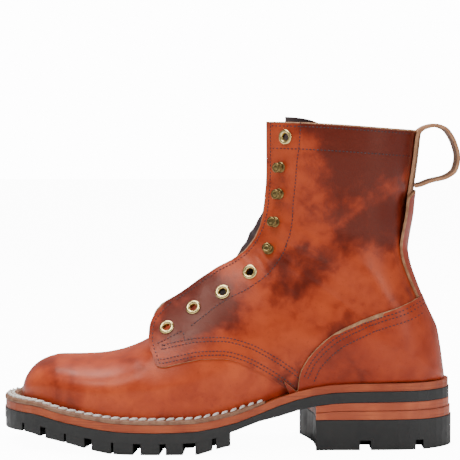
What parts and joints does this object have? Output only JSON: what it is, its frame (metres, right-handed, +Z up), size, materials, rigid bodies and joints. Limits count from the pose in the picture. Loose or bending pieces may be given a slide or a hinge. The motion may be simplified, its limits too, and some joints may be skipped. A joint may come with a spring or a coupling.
{
  "type": "lace_up_lug_sole_boot_left",
  "caption": "Left lace-up ankle boot in orange-brown leather, unlaced, with brass eyelets and hooks, rear pull loop, stitched welt, stacked heel and black lugged rubber sole",
  "frame": {"origin": "On the floor, under the middle of the heel", "axes": "Z up; -X towards the toe; -Y towards the outer side of the foot, +Y towards the inner side"},
  "size_m": [0.3173, 0.111, 0.227],
  "materials": {
    "sole_rubber": "matt black moulded rubber",
    "stacked_leather": "polished edges of stacked leather",
    "midsole_leather": "dyed and polished edge",
    "insole_board": "plain vegetable-tanned leather board",
    "welt_leather": "dull leather strip with white stitches",
    "oiled_leather": "pull-up leather, waxy and cloudy",
    "overlay_leather": "pull-up leather with raw tan edges",
    "tongue_leather": "dark soft leather",
    "strap_leather": "raw tan leather",
    "brass": "pale rolled brass",
    "antique_brass": "darkened brass"
  },
  "bodies": {
    "root": {"outsole": "sole_rubber", "heel_top_lift": "sole_rubber", "heel_lift_1": "stacked_leather", "heel_lift_2": "stacked_leather", "midsole": "midsole_leather", "insole": "insole_board", "welt": "welt_leather", "upper": "oiled_leather", "counter": "overlay_leather", "backstay": "overlay_leather", "tongue": "tongue_leather", "pull_loop": "strap_leather", "eyelet_outer_1": "brass", "eyelet_outer_2": "brass", "eyelet_outer_3": "brass", "eyelet_outer_4": "brass", "eyelet_outer_5": "brass", "hook_outer_1": "antique_brass", "hook_outer_2": "antique_brass", "hook_outer_3": "antique_brass", "hook_outer_4": "antique_brass", "eyelet_inner_1": "brass", "eyelet_inner_2": "brass", "eyelet_inner_3": "brass", "eyelet_inner_4": "brass", "eyelet_inner_5": "brass", "hook_inner_1": "antique_brass", "hook_inner_2": "antique_brass", "hook_inner_3": "antique_brass", "hook_inner_4": "antique_brass"}
  },
  "joints": []
}
